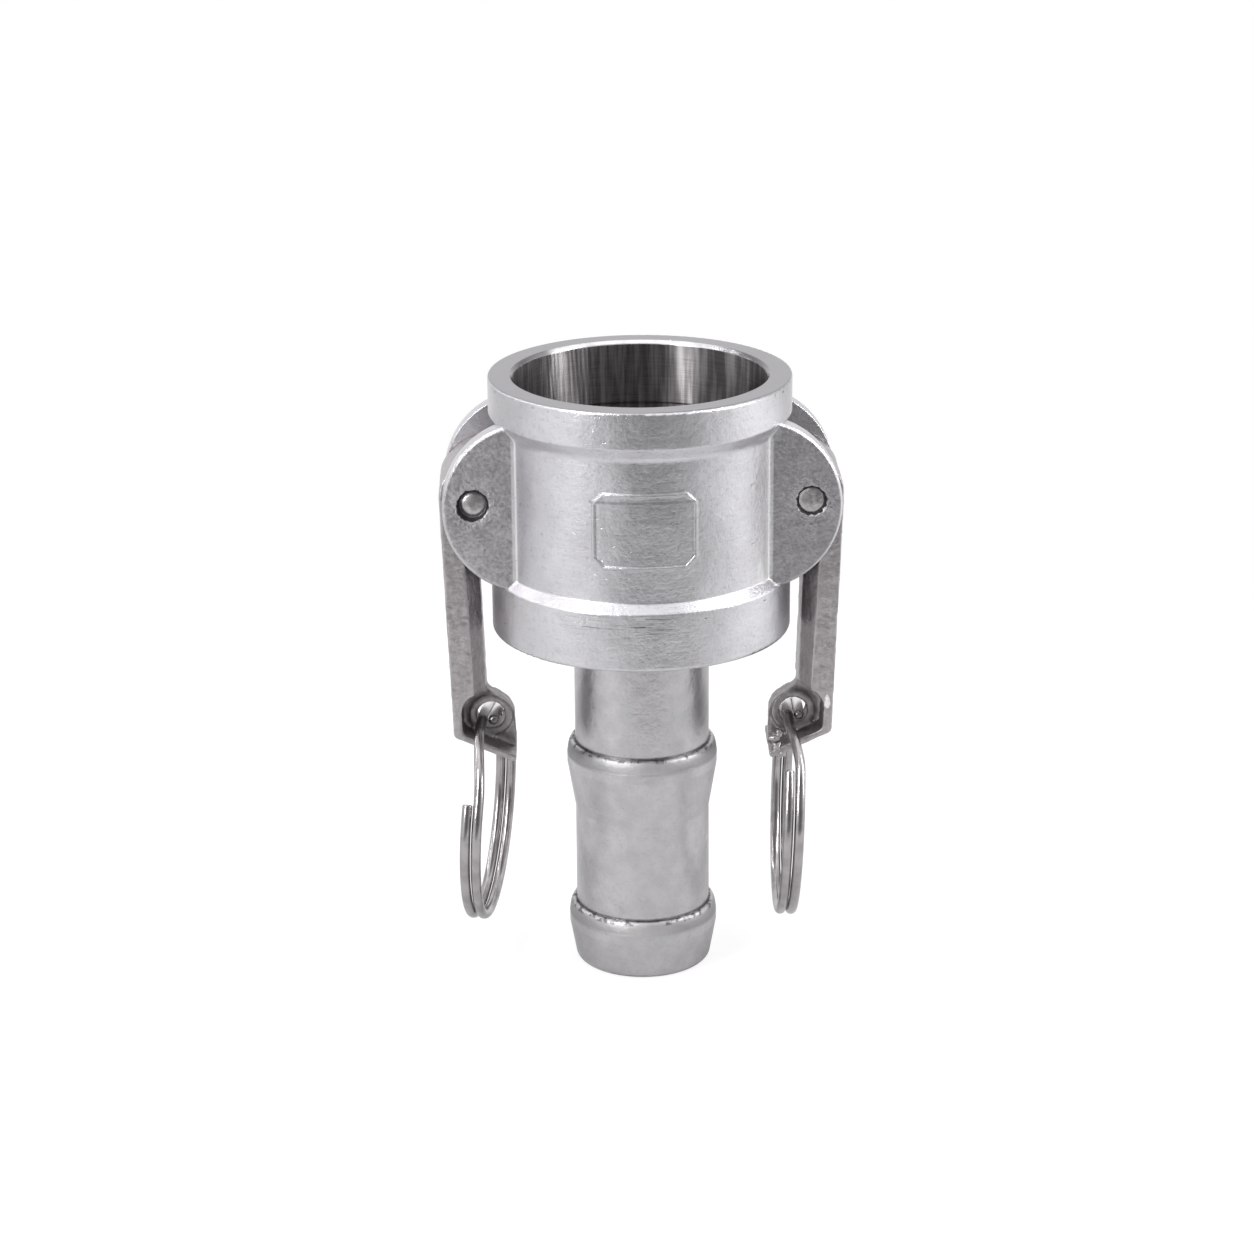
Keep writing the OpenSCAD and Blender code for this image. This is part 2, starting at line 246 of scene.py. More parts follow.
def new_finish(name):
    """A new material and its empty graph."""
    material = bpy.data.materials.new(name)
    material.use_nodes = True
    return material, Graph(material.node_tree)


print("graphs can be filled")

# %% [markdown]
# ## The room
#
# Steel has hardly any colour of its own: what is seen is the room. In the photograph the room is
# bright to the left, to the right and overhead, and dim where the photographer stands, which leaves
# a dull middle on every round wall. Lamps alone would leave the rest black, so the world holds this
# room as a soft gradient, and white where the paper backdrop hangs. Only the camera sees plain
# white all round.

# %% Surround the coupling with a soft room
# degrees from behind the coupling by its left, the photographer (0) and its right to behind again,
# each with the brightness there
ROUND = [(-180, 1.0), (-160, 1.0), (-138, 0.62), (-105, 0.72), (-82, 0.88), (-58, 1.1),
         (-36, 0.68), (-12, 0.25), (12, 0.2), (38, 0.34), (60, 0.7), (84, 1.25),
         (118, 1.15), (140, 0.5), (160, 1.0), (180, 1.0)]
OVERHEAD = 1.4
CEILING_FROM, CEILING_FULL = 0.74, 0.93  # sine of the angle above the horizon
PAPER_WHITE = 1.0


def soft_room():
    world = bpy.data.worlds.new("studio")
    bpy.context.scene.world = world
    world.use_nodes = True
    g = Graph(world.node_tree)
    x, y, z = g.split(g.add("ShaderNodeTexCoord"))
    turn = x.math("ARCTAN2", y * -1) / (2 * math.pi) + 0.5
    stops = [((angle + 180) / 360, brightness) for angle, brightness in ROUND]
    walls = g.add("ShaderNodeValToRGB", {"stops": stops}, {0: turn})
    ceiling = z.step(CEILING_FROM, CEILING_FULL)
    room = g.mix(ceiling, walls, OVERHEAD)
    camera_ray = g.add("ShaderNodeLightPath")
    seen = g.mix(camera_ray, room, PAPER_WHITE)
    shine = g.add("ShaderNodeBackground", sockets={"Color": seen, "Strength": 1.0})
    g.add("ShaderNodeOutputWorld", sockets={"Surface": shine})


soft_room()
print("room has", len(ROUND), "stops")

# %% [markdown]
# ## The strips of light
#
# A soft room gives broad tones but no sparkle. The thin bright lines on the walls, the edges and
# the wire come from narrow bright sources. Two wide soft boxes would draw broad bands with hard
# borders, so each box is split here into two or three upright strips of different strength, and two
# weak strips stand behind for the rims. All of them are aimed at one point inside the coupling.

# %% Hang the strips
LIT_POINT = Vector((0, 0, 0.055))
STRIP_UP = 30  # degrees above the horizon
STRIP_AWAY, STRIP_WIDE, STRIP_TALL = 0.75, 0.03, 0.6  # metres
# degrees to the right of the photographer, and the brightness
STRIPS = {
    "left_soft_box_a": (-42, 24.0),
    "left_soft_box_b": (-50.5, 36.0),
    "right_soft_box_a": (71, 6.0),
    "right_soft_box_b": (77.5, 24.0),
    "right_soft_box_c": (84.5, 16.0),
    "back_strip_a": (-100, 8.0),
    "back_strip_b": (-121, 8.0),
}


def light_strip(name, turn, brightness):
    data = bpy.data.lights.new(name, "AREA")
    data.shape, data.size, data.size_y = "RECTANGLE", STRIP_WIDE, STRIP_TALL
    data.energy = brightness * math.pi * STRIP_WIDE * STRIP_TALL
    strip = add_to_scene(name, data)
    a, e = math.radians(turn), math.radians(STRIP_UP)
    back = Vector((math.sin(a) * math.cos(e), -math.cos(a) * math.cos(e), math.sin(e)))
    strip.location = LIT_POINT + back * STRIP_AWAY
    strip.rotation_mode = "QUATERNION"
    strip.rotation_quaternion = back.to_track_quat("Z", "Y")
    strip.visible_camera = False


for name, (turn, brightness) in STRIPS.items():
    light_strip(name, turn, brightness)
print(len(STRIPS), "strips of light hang round the coupling")


# %% [markdown]
# ## The floor
#
# The coupling stands on white paper that has no horizon. A large plane would end in a visible
# line, so the floor is a small round sheet that fades out. The camera sees it nearly white, with a
# thin diffuse part that keeps the shadow, while the steel sees a plain grey sheet, so that the tail
# isn't lit from below more than in the photograph.


# %% Turn a bmesh into a mesh
def mesh_from(shape, name):
    """The finished mesh of a shape under construction, shaded smooth."""
    mesh = bpy.data.meshes.new(name)
    shape.to_mesh(mesh)
    shape.free()
    mesh.polygons.foreach_set("use_smooth", [True] * len(mesh.polygons))
    return mesh


# %% Lay the pale floor
FLOOR_R = 0.2
FADE_FROM, FADE_TO = 0.12, 0.19
SHEET_GREY, GLOW, SHADOW_GREY = 0.6, 0.8, 0.22


def lay_floor():
    shape = bmesh.new()
    bmesh.ops.create_circle(shape, cap_ends=True, segments=96, radius=FLOOR_R)
    floor = add_to_scene("floor", mesh_from(shape, "floor"))
    paper, g = new_finish("paper")
    x, y, z = g.split(g.add("ShaderNodeTexCoord", out=Graph.OBJECT_SPACE))
    reach = (x * x + y * y) ** 0.5
    camera_ray = g.add("ShaderNodeLightPath")
    sheet = g.add("ShaderNodeBsdfDiffuse", sockets={"Color": colour(SHEET_GREY)})
    glow = g.add("ShaderNodeEmission", sockets={"Color": colour(PAPER_WHITE), "Strength": GLOW})
    thin = g.add("ShaderNodeBsdfDiffuse", sockets={"Color": colour(SHADOW_GREY)})
    white = g.add("ShaderNodeAddShader", sockets={0: glow, 1: thin})
    seen = g.add("ShaderNodeMixShader", sockets={0: camera_ray, 1: sheet, 2: white})
    clear = g.add("ShaderNodeBsdfTransparent")
    faded = {0: reach.step(FADE_FROM, FADE_TO), 1: seen, 2: clear}
    g.finish(g.add("ShaderNodeMixShader", sockets=faded))
    floor.data.materials.append(paper)


lay_floor()

# %% [markdown]
# ## Where the body was cast and where it was turned
#
# The body is one casting, but it has three surfaces. Blasted skin covers the outside: satin, with
# shallow waves from the wax, fine grain and a few pits. The mouth and the bore were turned, so they
# are smoother and carry fine rings. The flat ears were left duller. One could cut the mesh into
# parts for this, but the place on the body already says which surface is meant. So the first step
# is a set of masks, each 1 on its surface and 0 elsewhere, made from the radius and the height. The
# name here holds them, because they say what is true at the point that is being shaded.

# %% Mask the surfaces of the body
# radii and heights in millimetres
CHAMFER_R, BORE_R, GROOVE_R, TAIL_HOLE_R = 16.76, 16.6, 17.9, 7.6
BODY_R, COLLAR_R = 18.3, 19.5
SEAT_Z, GROOVE_TOP_Z = 48.0, 60.0
WALL_LOW, WALL_HIGH = 55.3, 74.3  # the round wall between the two collars
TAIL_TOP = 47.4
EAR_Y = 8.7


def body_masks(g):
    at = g.place()
    x, y, z = g.split(at)
    r = (x * x + y * y) ** 0.5
    chamfer = r.step(CHAMFER_R, CHAMFER_R - 0.06) * z.step(MOUTH_Z - 0.5, MOUTH_Z - 0.44)
    groove = r.step(GROOVE_R, GROOVE_R - 0.2) * z.step(GROOVE_TOP_Z, GROOVE_TOP_Z - 1)
    inside = r.step(BORE_R, BORE_R - 0.05).larger(groove)
    bore = inside * z.step(SEAT_Z, SEAT_Z + 1) * (1 - chamfer)
    mouth = z.step(MOUTH_Z - 0.1, MOUTH_Z - 0.05) * (1 - chamfer)
    lathe = bore.larger(r.step(TAIL_HOLE_R, TAIL_HOLE_R - 0.3))
    front = y.step(-4.0, -6.0)
    wall = z.between(WALL_LOW, WALL_HIGH, 0.2) * r.step(BODY_R + 0.03, BODY_R + 0.12)
    flat = y.size().between(EAR_Y - 0.1, EAR_Y + 0.1, 0.05)
    ears = flat * r.step(COLLAR_R + 0.05, COLLAR_R + 0.12).larger(wall)
    # painted highlight: the band of the round wall beside the ears
    beside_ears = r.between(BODY_R - 0.2, BODY_R + 0.15, 0.1)
    beside_ears = front * beside_ears * z.between(WALL_LOW - 0.1, WALL_HIGH + 0.1, 0.3)
    # painted highlight: the line where each ear meets the round wall
    corner = y.size().between(EAR_Y - 0.2, EAR_Y + 0.25, 0.1)
    corner = corner * r.between(BODY_R - 0.2, BODY_R + 0.45, 0.1)
    corner = corner * z.between(WALL_LOW - 0.3, WALL_HIGH + 0.7, 0.3)
    return SimpleNamespace(
        at=at, x=x, y=y, z=z, r=r, turn=x.math("ARCTAN2", y), left=x.step(1.0, -1.0),
        chamfer=chamfer, bore=bore, mouth=mouth, lathe=lathe, front=front, ears=ears,
        beside_ears=beside_ears, corner=corner, tail=z.step(TAIL_TOP, TAIL_TOP - 0.5),
        cast=(1 - lathe) * (1 - chamfer) * (1 - mouth * 0.6),
    )


body_finish, g = new_finish("cast_body_steel")
here = body_masks(g)
print("masks:", ", ".join(sorted(vars(here))))

# %% [markdown]
# ## The ragged holes of the pins
#
# The pins sit in drilled holes that a hammer has dressed, so a dark ragged gap shows round each
# end: at the left pin one that is widest below and outside, and a thin toothed one round the right.
# Cutting the gaps into the solid would loosen the pins. They are drawn here from the distance to
# the pin's middle, with an edge that wanders with the direction.

# %% Draw the gaps round the pins
PIN_X, PIN_Z, PIN_R = 21.5, 66.2, 1.7
LEFT_GAP_R, LEFT_GAP_SAG, LEFT_GAP_TURN = 2.03, 0.22, 0.7
RIGHT_GAP_R, RIGHT_GAP_TEETH, RIGHT_GAP_TOOTH = 1.93, 13.0, 0.06


def pin_gaps(g, here):
    across, up = here.x.size() - PIN_X, here.z - PIN_Z
    from_pin = (across * across + up * up) ** 0.5
    around = up.math("ARCTAN2", across)
    here.ragged = g.noise(here.at, 1.1, 3.0, 0.6)
    sag = (around + LEFT_GAP_TURN).math("COSINE").larger(0.0) * LEFT_GAP_SAG
    left_edge = sag + here.ragged * 0.7 + LEFT_GAP_R
    teeth = (around * RIGHT_GAP_TEETH).math("SINE") * RIGHT_GAP_TOOTH
    right_edge = teeth + here.ragged * 0.3 + RIGHT_GAP_R
    edge = here.left * left_edge + (1 - here.left) * right_edge
    face = here.y.size().step(8.0, 8.2)
    beyond_pin = from_pin.step(PIN_R - 0.06, PIN_R + 0.02)
    here.gap = beyond_pin * (edge - from_pin).step(-0.06, 0.06) * face
    here.dressed = from_pin.step(4.2, 2.2) * face


pin_gaps(g, here)
print(len(g.tree.nodes), "nodes so far")

# %% [markdown]
# ## The relief of the casting
#
# Relief could be modelled, but it is a few hundredths of a millimetre deep here, so a bump is
# enough: it tilts the surface as a true height would. The heights add up in millimetres, from broad
# waves down to grain, with pits, scars and nicked edges cut out of them. The turned surfaces have
# lathe rings and a faint chatter instead. A Bevel node rounds the sharp edges of the solid.

# %% Add up the heights
# depths in millimetres
WAVES, LUMPS, GRAIN, EAR_GRAIN, STROKES = 0.12, 0.055, 0.05, 0.03, 0.02
PITS, SCARS, HAMMERED, GAP_DEPTH, GOUGES, BURRS = 0.05, 0.03, 0.25, 0.25, 0.012, 0.05
RINGS, CHATTER = 0.007, 0.004
CHATTER_WAVES = 158.0  # per radian of the bore
EDGE_ROUND = 0.35 * MM
UPPER_BARB_Z, LOWER_BARB_Z = 31.2, 8.3  # the tops of the crowns


def body_damage(g, here):
    """What blasting, handling and the mould have left on the skin."""
    at, x, z, r, turn = here.at, here.x, here.z, here.r, here.turn
    here.pits = g.noise(at, 1.1, 2.0, 0.5).step(0.27, 0.36) * (1 - here.tail * 0.7)
    streaks = g.noise(g.join(turn * 14.0, z * 3.0, r), 0.8, 2.0, 0.5).step(0.19, 0.27)
    here.scars = streaks * g.noise(at, 0.3).step(0.0, 0.1) * (1 - here.tail)
    gouged = g.noise(g.join(turn * 3.5, z * 5.5, r), 0.9, 3.0, 0.6).step(0.02, 0.2)
    gouged = gouged * z.between(52.0, 54.5, 0.35) * x.between(-9.0, 3.0, 3.0)
    here.gouges = gouged * here.front * r.step(19.0, 19.2)
    burred = g.noise(g.join(turn * 16.0, z, r), 1.0, 3.0, 0.7).step(0.1, 0.2)
    here.burrs = burred * z.between(MOUTH_Z - 0.8, MOUTH_Z - 0.4, 0.15) * r.step(19.2, 19.4)


def body_relief(g, here):
    at, z, r, turn = here.at, here.z, here.r, here.turn
    here.grain = g.noise(at, 2.1, 4.0, 0.66)
    here.strokes = g.noise(g.join(turn * 9.0, z * 3.0, r), 1.0, 3.0, 0.6)
    skin = g.noise(at, 0.22, 2.0) * WAVES + g.noise(at, 0.75, 3.0, 0.6) * LUMPS
    skin = skin + here.grain * (here.ears * EAR_GRAIN + GRAIN)
    skin = skin + here.strokes * (1 - here.ears) * (1 - here.tail) * STROKES
    skin = skin - here.pits * PITS - here.scars * SCARS
    skin = skin + here.dressed * here.ragged * HAMMERED - here.gap * GAP_DEPTH
    skin = skin - here.gouges * GOUGES - here.burrs * BURRS
    rings = g.noise(g.join(turn * 0.6, z * 9.0, r * 9.0), 1.0, 2.0, 0.7) * RINGS
    chatter = (turn * CHATTER_WAVES + z * 0.7).math("SINE") * CHATTER
    chatter = chatter * here.bore * here.x.step(4.0, -4.0)
    height = skin * here.cast + (rings + chatter) * (1 - here.cast)
    edges = g.add("ShaderNodeBevel", {"samples": 6}, {"Radius": EDGE_ROUND})
    return g.bump(height, Normal=edges)


body_damage(g, here)
body_normal = body_relief(g, here)
print(len(g.tree.nodes), "nodes so far")

# %% [markdown]
# ## The tones of the casting
#
# Cast steel isn't one grey. The skin is pale and slightly blue with broad stains, the hollows of
# its grain and the tail are darker, and the ears darker still. A painted highlight lies on the
# corner beside each ear and on the wall beside the right ear, and the roll of each barb's crown is
# painted lighter at the front and darker at the sides, as painted light and shade. Dirt lies in
# pits, dirt and painted shade in the gaps of the pins, painted shade in the grooves of the barbs,
# and the back of the mouth's chamfer carries a painted highlight. Each tone is laid over the last
# one with a mask, as glazes are.

# %% Lay the tones over each other
SKIN_TONES = (0.62, 0.61, 0.635), (0.70, 0.695, 0.725)
TAIL_TONES = (0.50, 0.495, 0.51), (0.60, 0.575, 0.59)
EAR_TONES = (0.36, 0.35, 0.37), (0.66, 0.64, 0.665)
# the roll of the crowns, lighter at the front and darker at the sides, as painted light and shade
CROWN_LIGHT_AND_SHADE = (0.56, 0.545, 0.555), (0.34, 0.335, 0.345)
# the chamfer's tone, and a painted highlight for its back
CHAMFER_TONE_AND_HIGHLIGHT = (0.27, 0.265, 0.28), (0.85, 0.84, 0.85)
MOUTH_TONE, HOLLOW_TONE = (0.36, 0.35, 0.37), (0.36, 0.35, 0.36)
RIGHT_EAR_TONE, WORN_TONE = (0.30, 0.29, 0.31), (0.33, 0.325, 0.335)
# a painted highlight by the ears, dark for dirt and painted shade, and white for a painted
# highlight
CORNER_HIGHLIGHT, DIRT_AND_SHADE, HIGHLIGHT_WHITE = (0.88, 0.87, 0.89), (0.05, 0.045, 0.05), 1.0


def skin_tone(g, here):
    """The blasted skin with its ears and worn edges, with painted highlights by the ears and
    painted light and shade on the crowns.
    """
    x, z, right = here.x, here.z, 1 - here.left
    here.stain = g.noise(here.at, 0.16, 3.0, 0.6)
    here.patches = g.noise(here.at, 0.42, 3.0, 0.6)
    tone = g.mix(here.stain.step(-0.2, 0.25), *SKIN_TONES)
    tone = g.mix(here.tail * 0.85, tone, g.mix(here.patches.step(-0.2, 0.2), *TAIL_TONES))
    tone = g.mix(here.mouth, tone, MOUTH_TONE)
    hollows = (here.grain + here.strokes * 0.5).step(0.02, -0.28)
    tone = g.mix(hollows * 0.35 * here.cast, tone, HOLLOW_TONE)
    ear = g.mix((here.patches * 0.6 + here.grain * 0.8).step(-0.25, 0.28), *EAR_TONES)
    tone = g.mix(here.ears * 0.95, tone, g.mix(right * 0.35, ear, RIGHT_EAR_TONE))
    # painted highlight on the corner beside each ear
    tone = g.mix(here.corner * 0.8, tone, CORNER_HIGHLIGHT)
    # painted highlight: the wall beside the right ear is painted white
    tone = g.mix(right * x.step(14.0, 15.6) * here.beside_ears, tone, HIGHLIGHT_WHITE)
    rolled = z.between(UPPER_BARB_Z - 1.9, UPPER_BARB_Z - 0.2, 0.3)
    rolled = rolled + z.between(LOWER_BARB_Z - 1.9, LOWER_BARB_Z - 0.2, 0.3)
    here.rolled = here.r.step(9.2, 9.34) * rolled
    # painted light and shade: each crown's roll is lighter at the front and darker at the sides
    tone = g.mix(here.rolled * 0.9, tone, g.mix(x.size().step(1.0, 6.0), *CROWN_LIGHT_AND_SHADE))
    panel_top = here.front * x.size().step(7.1, 6.7) * z.between(68.9, 69.25, 0.08)
    return g.mix(panel_top * (here.ragged * 1.5 + 0.75) * 0.8, tone, WORN_TONE)


def dirt_shade_and_sheen(g, here, tone):
    """Dirt in the hollows, dirt and painted shade in the pin gaps, painted shade in the barb
    grooves, then the chamfer with a painted highlight at its back.
    """
    z, r = here.z, here.r
    rim = z.between(UPPER_BARB_Z - 0.5, UPPER_BARB_Z + 0.3, 0.1)
    rim = r.between(9.05, 9.6, 0.1) * (rim + z.between(LOWER_BARB_Z - 0.5, LOWER_BARB_Z + 0.3, 0.1))
    rim = rim * here.ragged.step(0.0, 0.1)
    # painted shade in the groove at the foot of each shank
    groove_shade = z.between(UPPER_BARB_Z - 0.2, UPPER_BARB_Z + 0.3, 0.1)
    groove_shade = r.step(9.3, 9.05) * groove_shade.larger(z.between(LOWER_BARB_Z - 0.2, LOWER_BARB_Z + 0.3, 0.1))
    dirt_and_shade = here.pits * 0.45 + here.scars * 0.5 + here.gouges * 0.85 + here.burrs * 0.8
    dirt_and_shade = dirt_and_shade + here.dressed * here.ragged.step(0.05, 0.25) * 0.7
    dirt_and_shade = (dirt_and_shade + rim * 0.7 + groove_shade * (here.ragged + 0.55)).smaller(0.9) * here.cast
    # dirt, and painted shade in the gaps round the pins and the grooves of the barbs
    tone = g.mix(here.gap.larger(dirt_and_shade), tone, DIRT_AND_SHADE)
    # painted highlight: the back of the chamfer is painted bright
    from_front = (here.x * -1).math("ARCTAN2", here.y * -1).size()
    back_highlight = from_front.step(2.30, 2.46) * (here.patches * 1.2 + 0.85)
    return g.mix(here.chamfer, tone, g.mix(back_highlight, *CHAMFER_TONE_AND_HIGHLIGHT))


body_tone = dirt_shade_and_sheen(g, here, skin_tone(g, here))
print(len(g.tree.nodes), "nodes so far")

# %% [markdown]
# ## The turned bore, and the whole finish
#
# A lathe leaves rings too fine to model, and they spread every highlight into an upright streak.
# The Principled shader has a socket for that, Anisotropic, and a quarter turn sets its direction.
# It can't vary over the surface here, so the bore gets a shader of its own, and a Mix Shader shows
# it where the mask of the turned surfaces is 1. Their colour is dark, as painted shade inside the
# bore and the tail's hole, with upright streaks of painted reflection.

# %% Finish the body
# dark tones, as painted shade inside the turned surfaces
BORE_SHADED_TONES = (0.15, 0.14, 0.145), (0.40, 0.385, 0.39)
BORE_ROUGH = 0.36


def lathe_tone(g, here):
    """Short marks of the boring tool, with upright streaks of painted reflection."""
    marks = g.noise(g.join(here.turn * 4.0, here.z * 9.0, here.r), 1.0, 2.0, 0.6)
    # upright streaks of painted reflection
    lines = g.noise(g.join(here.turn * 20.0, here.z * 0.08, 0.0), 1.0, 2.0, 0.6)
    shade = (marks.step(-0.15, 0.1) * 0.2 + lines.step(-0.1, 0.16) * 0.8).smaller(1.0)
    return g.mix(shade, *BORE_SHADED_TONES)


def finish_body(g, here):
    rough = here.stain * 0.1 + here.grain * 0.25 * here.cast + here.ears * 0.08
    rough = (rough + here.gap * 0.3 + here.rolled * 0.2 + 0.33) * (1 - here.chamfer * 0.5)
    blasted = g.steel(body_tone, rough, body_normal)
    streaky = {"Anisotropic": 1.0, "Anisotropic Rotation": 0.25}
    turned = g.steel(lathe_tone(g, here), BORE_ROUGH, body_normal, **streaky)
    g.finish(g.add("ShaderNodeMixShader", sockets={0: here.lathe, 1: blasted, 2: turned}))


def dress(node, material):
    """Gives a solid its finish."""
    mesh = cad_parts[node].data
    mesh.materials.clear()
    mesh.materials.append(material)
    print(node, "wears", material.name)


finish_body(g, here)
dress("coupler_body", body_finish)

# %% [markdown]
# ## The arms
#
# The arms are castings too, but they were only tumbled, so every edge is worn round and the faces
# are lumpy. A bump would leave their outline sharp. So each arm is cast again: a fine skin is laid
# over a copy of the solid, smoothed until its edges melt, and then pressed in by noise, never out,
# which keeps it inside the solid and clear of the pins.

# %% Cast the arms again
# sizes in millimetres
SKIN_CELL, MELT_PASSES = 0.2, 5
PRESSED_IN, LEAST_LUMP = 0.06, -0.05
ARM_LUMPS = (0.05, 0.45), (0.035, 1.1), (0.022, 2.6)  # height and frequency of each layer


def cast_copy(name, node, body, seed):
    copy = add_to_scene(name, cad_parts[node].data.copy())
    laid = copy.modifiers.new("fine_skin", "REMESH")
    laid.mode, laid.voxel_size = "VOXEL", SKIN_CELL * MM
    melt = copy.modifiers.new("melted_edges", "SMOOTH")
    melt.factor, melt.iterations = 0.5, MELT_PASSES
    modelled = copy.evaluated_get(bpy.context.evaluated_depsgraph_get())
    fine = bpy.data.meshes.new_from_object(modelled)
    copy.modifiers.clear()
    copy.data = fine
    drift = Vector((seed * 7.3, 0, 0))
    outward = [vertex.normal.copy() for vertex in fine.vertices]
    pressed = []
    for vertex, normal in zip(fine.vertices, outward):
        at = vertex.co / MM + drift
        lump = sum(height * noise.noise(at * often) for height, often in ARM_LUMPS)
        pressed.extend(vertex.co - normal * (PRESSED_IN + max(lump, LEAST_LUMP)) * MM)
    fine.vertices.foreach_set("co", pressed)
    fine.update()
    fine.polygons.foreach_set("use_smooth", [True] * len(fine.polygons))
    fine.materials.clear()
    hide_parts(node)
    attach(copy, body)
    print(name, len(fine.polygons), "faces")
    return copy


left_arm = cast_copy("left_arm_casting", "left_cam_arm", "left_arm", 1)
right_arm = cast_copy("right_arm_casting", "right_cam_arm", "right_arm", 2)

# %% [markdown]
# ## The skin of the arms
#
# Tumbled steel is a warmer and darker grey than the blasted body, with a short brushed grain along
# the bar. The ring hole and the recess about it are painted dark as painted shade, small specks
# shine where grains were knocked off, and the right arm has a bright nick on its outer rim.

# %% Give the arms their skin
HOLE_X, HOLE_Z = 19.9107, 35.1374
ARM_TONES = (0.37, 0.35, 0.355), (0.57, 0.54, 0.55)
# dark for painted shade, and bright for the specks and the nick
PAINTED_SHADE_TONE, BRIGHT = (0.10, 0.09, 0.095), (0.97, 0.95, 0.96)
NICK_AT = 24.1, -4.9, 37.6


def arm_steel():
    material, g = new_finish("cast_arm_steel")
    at = g.place()
    x, y, z = g.split(at)
    lumps = g.noise(at, 1.1, 3.0, 0.6)
    grain = g.noise(at, 2.6, 3.0, 0.6)
    brushed = g.noise(g.join(x * 1.6, y * 1.6, z * 0.5), 1.0, 3.0, 0.6)
    normal = g.bump(lumps * 0.05 + grain * 0.035 + brushed * 0.02)
    tone = g.mix((brushed * 0.7 + grain * 0.7).step(-0.35, 0.35), *ARM_TONES)
    # painted shade in the ring hole and in the recess about it
    away, up = x.size() - HOLE_X, z - HOLE_Z
    from_hole = (away * away + up * up) ** 0.5
    recess = y.size().step(4.9, 4.5) * z.step(39.6, 39.0) * x.size().step(23.9, 23.4)
    painted_shade = from_hole.step(1.9, 1.6).larger(recess * (lumps * 0.8 + 0.32))
    tone = g.mix(painted_shade.smaller(0.9), tone, PAINTED_SHADE_TONE)
    specks = g.noise(at, 2.2, 1.0).step(0.26, 0.32) * 0.6
    nick_x, nick_y, nick_z = (axis - middle for axis, middle in zip((x, y, z), NICK_AT))
    nick = (nick_x * nick_x * 2.5 + nick_y * nick_y * 0.4 + nick_z * nick_z * 0.5) ** 0.5
    nick = (nick + lumps * 1.2).step(0.62, 0.45)
    tone = g.mix(specks.larger(nick), tone, BRIGHT)
    g.finish(g.steel(tone, lumps * 0.2 + grain * 0.15 + 0.40, normal))
    return material


arm_finish = arm_steel()
for arm in (left_arm, right_arm):
    arm.data.materials.append(arm_finish)

# %% [markdown]
# ## The pull rings
#
# Each ring is a split ring of hard wire, wound nearly twice round so that it can be threaded into
# the arm's hole. The solid has twelve flat sides, which polished wire would show at once. A
# bevelled curve would be smooth but has no true blunt ends, so the wire is swept here along the
# same path, with rounded ends and a fine mesh. The path stays in one layer for the first turn and
# then slips past the blunt start of that turn into the other layer.

# %% Follow the path of the wire
RING_R, WIRE_R, PITCH = 14.0, 0.67, 1.43  # millimetres
PAST_TOP = 13.0  # degrees by which the second turn runs past the top
# degrees from the top to the blunt start of the wire, and how the ring hangs
LEFT_RING = {"start": 66, "twist": -9, "lean": 2.6}
RIGHT_RING = {"start": 50, "twist": -1, "lean": 2.1}


def ring_point(start, share):
    """A point of the wire's middle about the ring hole, and the direction in which it runs."""
    turned = start + (720 + PAST_TOP - start) * share
    t = min(max((turned - 360 - PAST_TOP) / (start - PAST_TOP), 0.0), 1.0)
    a = math.radians(turned)
    layer = PITCH * (t * t * (3 - 2 * t) - 0.5)
    centre = Vector((layer, -RING_R * math.sin(a), RING_R * math.cos(a) - RING_R))
    slip = PITCH * 6 * t * (1 - t) / math.radians(start - PAST_TOP)
    along = Vector((slip, -RING_R * math.cos(a), -RING_R * math.sin(a))).normalized()
    return centre, along


def wire_length(start):
    return math.radians(720 + PAST_TOP - start) * RING_R


for start in (LEFT_RING["start"], RIGHT_RING["start"]):
    print("a wire that starts at %d degrees is %.1f mm long" % (start, wire_length(start)))


# %% Sew loops of corners into a skin
def sew(shape, loops):
    """Faces between each loop of corners and the next."""
    for one, two in zip(loops, loops[1:]):
        for i in range(len(one)):
            j = (i + 1) % len(one)
            shape.faces.new((one[i], one[j], two[j], two[i]))


def cap(shape, loops):
    """A face on the first loop and on the last."""
    shape.faces.new(loops[0][::-1])
    shape.faces.new(loops[-1])


# %% Wind the wire
SIDES_ROUND, STEPS_ALONG = 28, 420
START_ROUND_OFF, END_ROUND_OFF = 0.22, 0.62  # millimetres
END_ANGLES = (0.0, 0.2, 0.4, 0.6, 0.8, 1.0, 1.2, 1.4, math.pi / 2)


def wire_end(round_off):
    """How far along the end each loop of its rounding lies, and its radius."""
    return [(round_off * (1 - math.cos(t)), WIRE_R - round_off * (1 - math.sin(t)))
            for t in END_ANGLES]


def wire_stations(start):
    """Shares of the way along the wire, with the radius there."""
    length = wire_length(start)
    first = [(d / length, r) for d, r in wire_end(START_ROUND_OFF)]
    last = [(1 - d / length, r) for d, r in reversed(wire_end(END_ROUND_OFF))]
    even = [(k / STEPS_ALONG, WIRE_R) for k in range(STEPS_ALONG + 1)]
    return first + [s for s in even if first[-1][0] < s[0] < last[0][0]] + last


